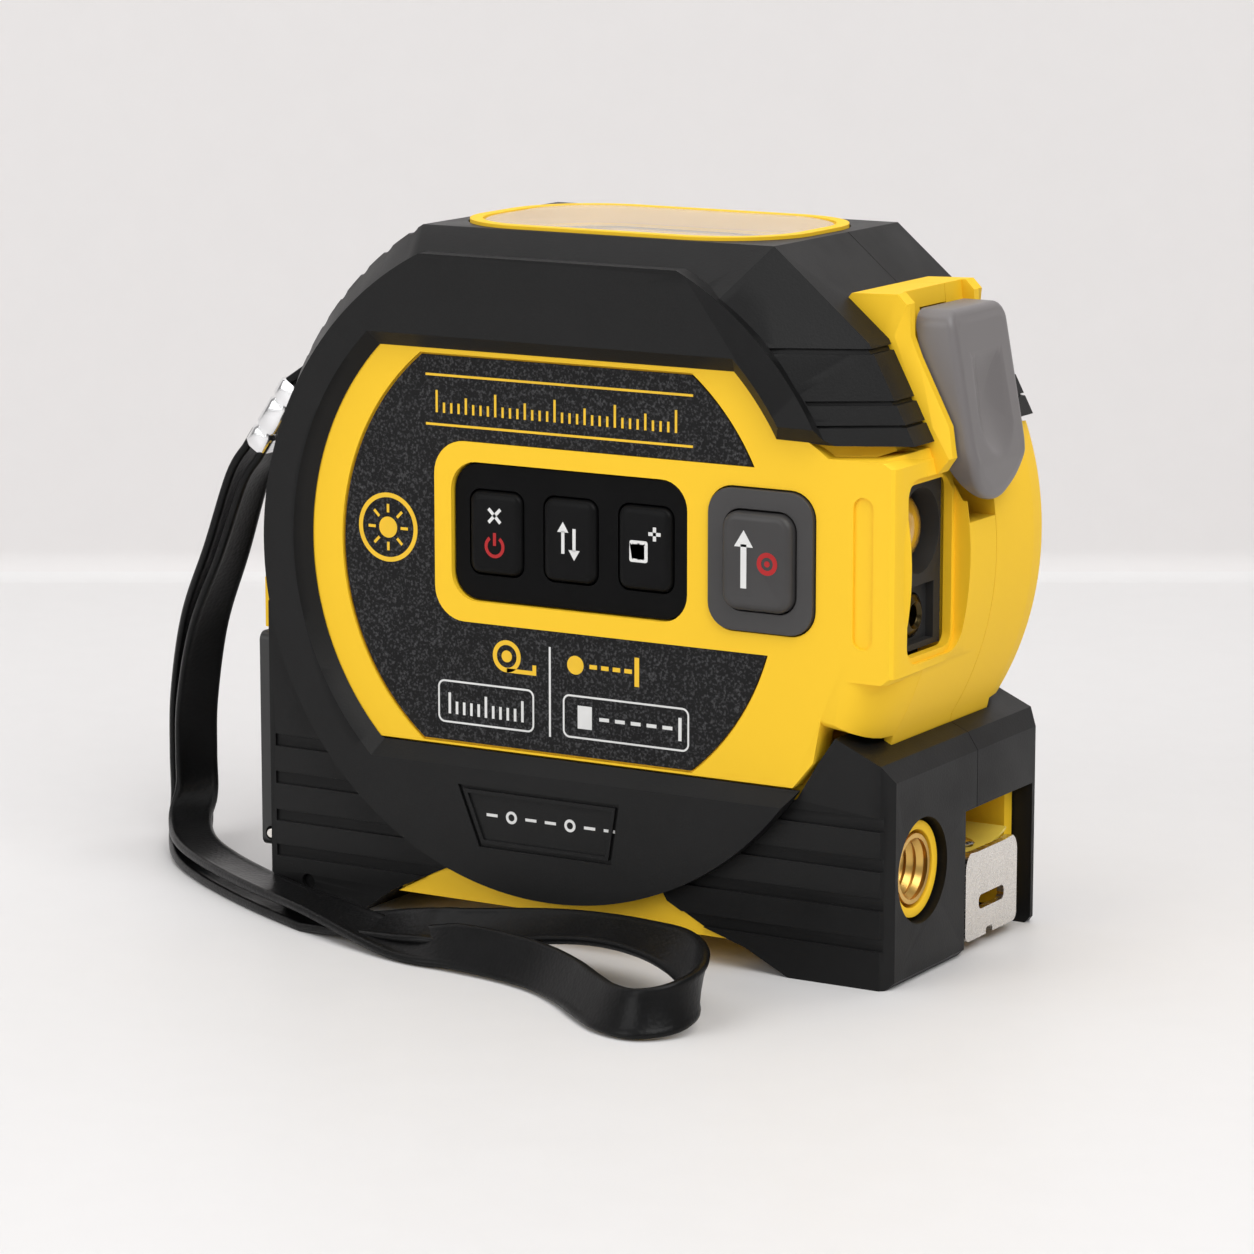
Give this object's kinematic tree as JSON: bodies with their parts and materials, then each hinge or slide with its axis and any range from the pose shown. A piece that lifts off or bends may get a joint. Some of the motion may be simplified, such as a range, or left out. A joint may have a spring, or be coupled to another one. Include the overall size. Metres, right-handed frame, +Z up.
{
  "type": "laser distance meter",
  "caption": "Hand-sized laser distance meter with a built-in pull-out steel tape: keyed side panel, top display, thumb lock, front optics, threaded nose insert and wrist strap.",
  "frame": {"origin": "middle of the case's footprint, on the surface it stands on, the wrist strap left out", "axes": "+X the way the laser points and the tape pulls out, +Y away from the keyed side, +Z up"},
  "size_m": [0.1182, 0.072, 0.0833],
  "materials": {
    "case_yellow": "fine satin texture",
    "grip_rubber": "matt",
    "label_film": "printed film, satin",
    "key_rubber": "matt",
    "measure_rubber": "satin",
    "display_glass": "polished",
    "display_panel": "smooth",
    "board_laminate": "solder mask",
    "switch_metal": "plated",
    "optics_black": "moulded black",
    "lens_glass": "polished, amber coated",
    "lock_grey": "satin",
    "reel_plastic": "moulded",
    "tape_steel": "painted, satin",
    "plated_steel": "plated, slightly dull",
    "spring_steel": "blued",
    "insert_brass": "machined",
    "cell_wrap": "gloss sleeve",
    "door_black": "satin",
    "strap_cord": "woven, matt"
  },
  "bodies": {
    "case": {"battery_cell_1": "cell_wrap", "battery_cell_2": "cell_wrap", "case_screw_1": "plated_steel", "case_screw_2": "plated_steel", "case_screw_3": "plated_steel", "case_screw_4": "plated_steel", "contact_plate": "spring_steel", "display_bezel": "case_yellow", "display_panel": "display_panel", "display_window": "display_glass", "door_pin": "plated_steel", "drum_axle": "plated_steel", "front_foot_left": "grip_rubber", "front_foot_right": "grip_rubber", "grip_left": "grip_rubber", "grip_right": "grip_rubber", "housing_left": "case_yellow", "housing_right": "case_yellow", "insert_collar": "case_yellow", "keypad_mat": "key_rubber", "label_left": "label_film", "label_right": "label_film", "laser_tube": "optics_black", "main_board": "board_laminate", "measure_bezel": "measure_rubber", "optics_frame": "optics_black", "power_spring": "spring_steel", "rear_foot_left": "grip_rubber", "rear_foot_right": "grip_rubber", "receiver_lens": "lens_glass", "strap_crimp": "plated_steel", "strap_lead": "strap_cord", "strap_pin": "plated_steel", "switch_1": "switch_metal", "switch_2": "switch_metal", "switch_3": "switch_metal", "switch_4": "switch_metal", "tripod_insert": "insert_brass", "wrist_strap": "strap_cord"},
    "drum": {"tape_drum": "reel_plastic", "tape_coil": "tape_steel"},
    "blade": {"tape_blade": "tape_steel", "hook_rivet_1": "plated_steel", "hook_rivet_2": "plated_steel"},
    "hook": {"end_hook": "plated_steel"},
    "lock": {"lock_slider": "lock_grey", "brake_arm": "lock_grey"},
    "door": {"battery_door": "door_black"},
    "key_1": {"key_1": "key_rubber"},
    "key_2": {"key_2": "key_rubber"},
    "key_3": {"key_3": "key_rubber"},
    "measure": {"measure_button": "measure_rubber"}
  },
  "joints": [
    {"name": "key_1_press", "type": "slide", "parent": "case", "child": "key_1", "axis": [0, 1, 0], "range_m": [0, 0.0008], "stiffness_N_per_m": 400},
    {"name": "key_2_press", "type": "slide", "parent": "case", "child": "key_2", "axis": [0, 1, 0], "range_m": [0, 0.0008], "stiffness_N_per_m": 400},
    {"name": "key_3_press", "type": "slide", "parent": "case", "child": "key_3", "axis": [0, 1, 0], "range_m": [0, 0.0008], "stiffness_N_per_m": 400},
    {"name": "measure_press", "type": "slide", "parent": "case", "child": "measure", "axis": [0, 1, 0], "range_m": [0, 0.0008], "stiffness_N_per_m": 400},
    {"name": "lock_slide", "type": "slide", "parent": "case", "child": "lock", "axis": [-0.1564, 0, 0.9877], "range_m": [0, 0.005]},
    {"name": "drum_spin", "type": "hinge", "parent": "case", "child": "drum", "pos_m": [-0.00455, 0.007, 0.0363], "axis": [0, 1, 0], "range_deg": [-80, 0], "stiffness_Nm_per_rad": 0.05},
    {"name": "tape_pull", "type": "slide", "parent": "case", "child": "blade", "axis": [1, 0, 0], "range_m": [0, 0.035]},
    {"name": "hook_play", "type": "slide", "parent": "blade", "child": "hook", "axis": [1, 0, 0], "range_m": [0, 0.0009]},
    {"name": "battery_door_swing", "type": "hinge", "parent": "case", "child": "door", "pos_m": [-0.04365, -0.00962, 0.008], "axis": [0, -1, 0], "range_deg": [0, 90]}
  ],
  "couplings": [
    {"joint": "tape_pull", "follows": "drum_spin", "m_per_rad": -0.025}
  ]
}
